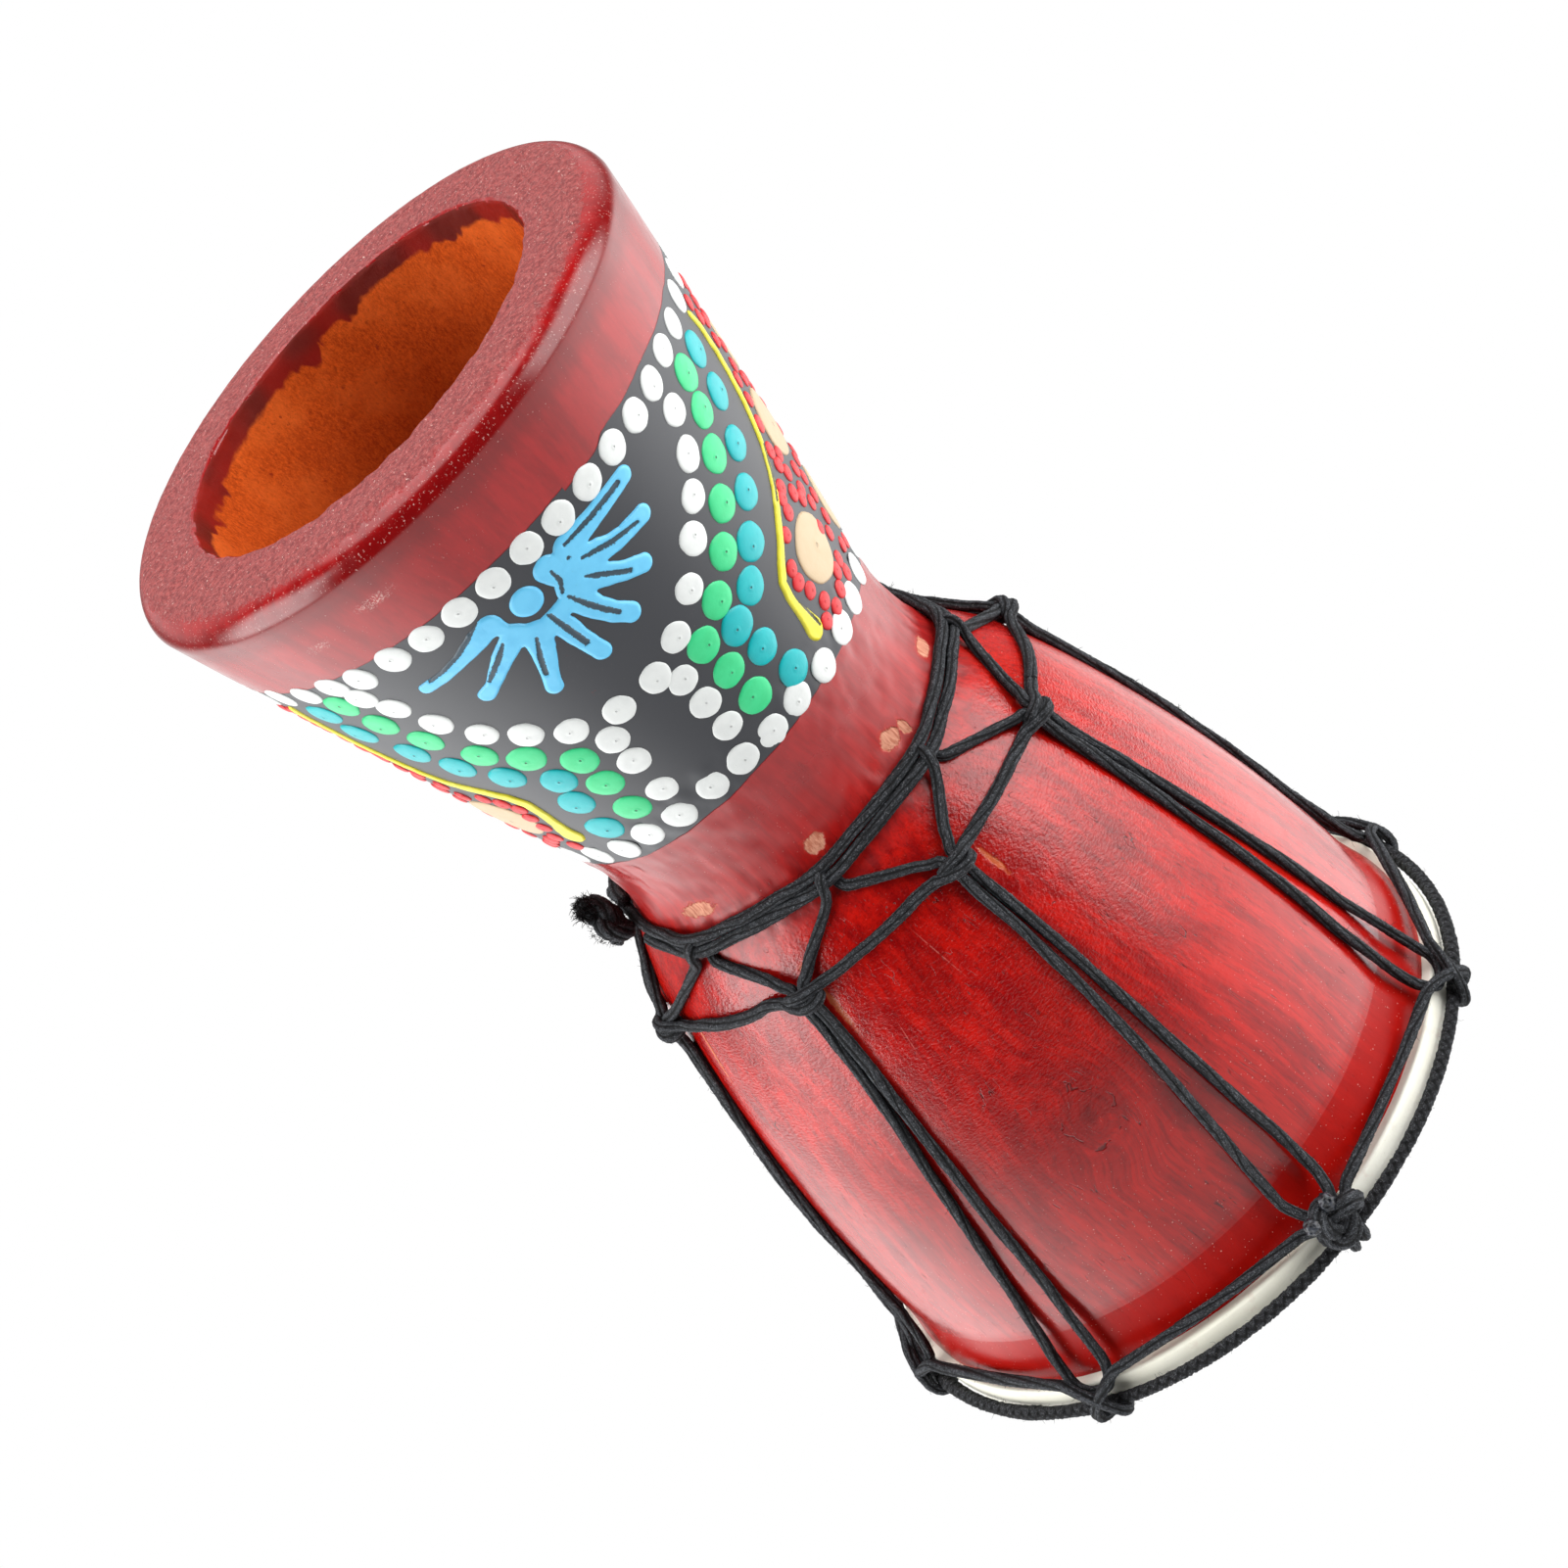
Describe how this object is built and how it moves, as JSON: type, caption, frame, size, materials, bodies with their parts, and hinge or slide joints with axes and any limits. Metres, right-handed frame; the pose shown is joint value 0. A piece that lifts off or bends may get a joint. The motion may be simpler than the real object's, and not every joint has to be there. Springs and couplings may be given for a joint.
{
  "type": "mini djembe",
  "caption": "Small rope-laced goblet drum: turned wooden shell open at the foot, stretched skin head on a hoop, crown ring and zigzag cord lacing.",
  "frame": {"origin": "centre of the foot's flat face, which the drum stands on", "axes": "+Z along the drum's axis, from the foot to the head; -Y towards the painted panel's front"},
  "size_m": [0.0923, 0.093, 0.15],
  "materials": {
    "red_lacquered_wood": "gloss red lacquer over mahogany, with a painted black band of raised enamel dots",
    "white_skin": "matte stretched hide",
    "plain_wood": "raw",
    "black_braid": "matte braided cord",
    "black_waxed_cord": "waxed twisted cord"
  },
  "bodies": {
    "root": {"shell": "red_lacquered_wood", "drum_skin": "white_skin", "flesh_hoop": "plain_wood", "crown_ring": "black_braid", "rim_cord": "black_waxed_cord", "rim_tie_loop": "black_waxed_cord", "rim_knot": "black_waxed_cord", "lacing_cord": "black_waxed_cord", "shoulder_cord": "black_waxed_cord", "waist_cord": "black_waxed_cord", "waist_knot": "black_waxed_cord"}
  },
  "joints": []
}
